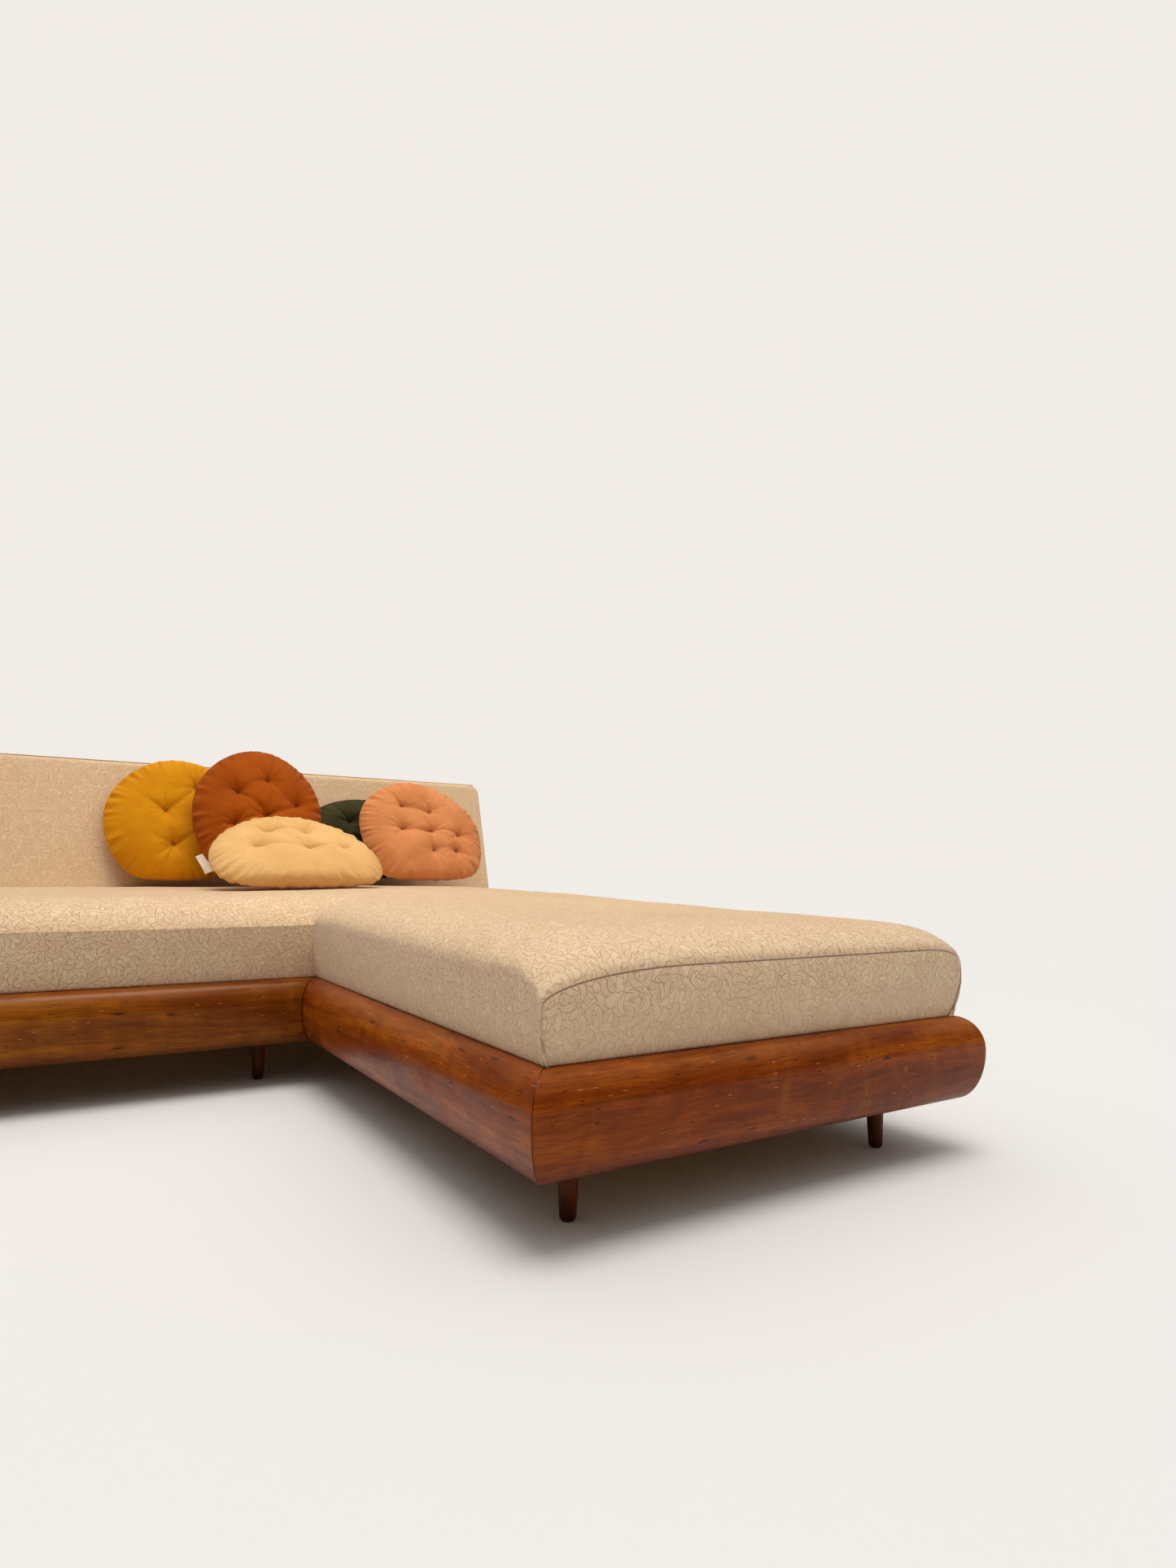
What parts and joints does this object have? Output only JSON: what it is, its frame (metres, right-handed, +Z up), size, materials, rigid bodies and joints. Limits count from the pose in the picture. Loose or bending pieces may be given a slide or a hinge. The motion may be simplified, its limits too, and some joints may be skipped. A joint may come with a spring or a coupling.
{
  "type": "L-shaped platform daybed",
  "caption": "Low L-shaped platform daybed: rounded mitred wood rails on tapered legs, a chaise, one mattress, a raked padded back and loose round tufted cushions.",
  "frame": {"origin": "on the floor under the centre of the whole piece's plan box", "axes": "+Z up, +X right along the length of the back, towards the chaise's outer side, +Y from the chaise's front towards the back"},
  "size_m": [2.5, 2.1554, 0.8352],
  "materials": {
    "rail_wood": "satin",
    "leg_wood": "satin",
    "frame_wood": "matte",
    "plywood": "matte",
    "steel": "satin",
    "glide_plastic": "matte",
    "foam": "matte",
    "filling": "matte",
    "upholstery": "matte",
    "mustard_cloth": "matte",
    "rust_cloth": "matte",
    "green_cloth": "matte",
    "peach_cloth": "matte",
    "cream_cloth": "matte",
    "label_cloth": "matte"
  },
  "bodies": {
    "base": {"chaise_front_rail": "rail_wood", "chaise_inner_rail": "rail_wood", "seat_front_rail": "rail_wood", "seat_end_rail": "rail_wood", "rear_rail": "rail_wood", "chaise_outer_rail": "rail_wood", "mitre_splines": "frame_wood", "corner_blocks": "frame_wood", "deck_cleats": "frame_wood", "leg_bearers": "frame_wood", "deck_bearers": "frame_wood", "seat_deck": "plywood", "chaise_deck": "plywood", "deck_screws": "steel", "legs": "leg_wood", "leg_plates": "steel", "hanger_bolts": "steel", "leg_screws": "steel", "foot_glides": "glide_plastic", "back_frame": "frame_wood", "back_board": "plywood", "back_foam": "foam", "back_cover": "upholstery", "back_brackets": "steel", "back_bolts": "steel"},
    "mattress": {"mattress_cover": "upholstery", "chaise_core": "foam", "seat_core": "foam"},
    "mustard_cushion": {"mustard_cover": "mustard_cloth", "mustard_filling": "filling", "mustard_tufts": "mustard_cloth"},
    "rust_cushion": {"rust_cover": "rust_cloth", "rust_filling": "filling", "rust_tufts": "rust_cloth", "rust_label": "label_cloth"},
    "green_cushion": {"green_cover": "green_cloth", "green_filling": "filling", "green_tufts": "green_cloth"},
    "peach_cushion": {"peach_cover": "peach_cloth", "peach_filling": "filling", "peach_tufts": "peach_cloth"},
    "cream_cushion": {"cream_cover": "cream_cloth", "cream_filling": "filling", "cream_tufts": "cream_cloth"}
  },
  "joints": [
    {"name": "mattress_lift", "type": "slide", "parent": "base", "child": "mattress", "axis": [0, 0, 1], "range_m": [0, 0.25]},
    {"name": "mustard_cushion_lift", "type": "slide", "parent": "mattress", "child": "mustard_cushion", "axis": [0, 0.299, 0.9542], "range_m": [0, 0.3]},
    {"name": "rust_cushion_lift", "type": "slide", "parent": "mattress", "child": "rust_cushion", "axis": [0, 0.299, 0.9542], "range_m": [0, 0.3]},
    {"name": "green_cushion_lift", "type": "slide", "parent": "mattress", "child": "green_cushion", "axis": [0, 0.299, 0.9542], "range_m": [0, 0.3]},
    {"name": "peach_cushion_lift", "type": "slide", "parent": "mattress", "child": "peach_cushion", "axis": [0, 0.299, 0.9542], "range_m": [0, 0.3]},
    {"name": "cream_cushion_lift", "type": "slide", "parent": "mattress", "child": "cream_cushion", "axis": [0, 0.299, 0.9542], "range_m": [0, 0.3]}
  ]
}
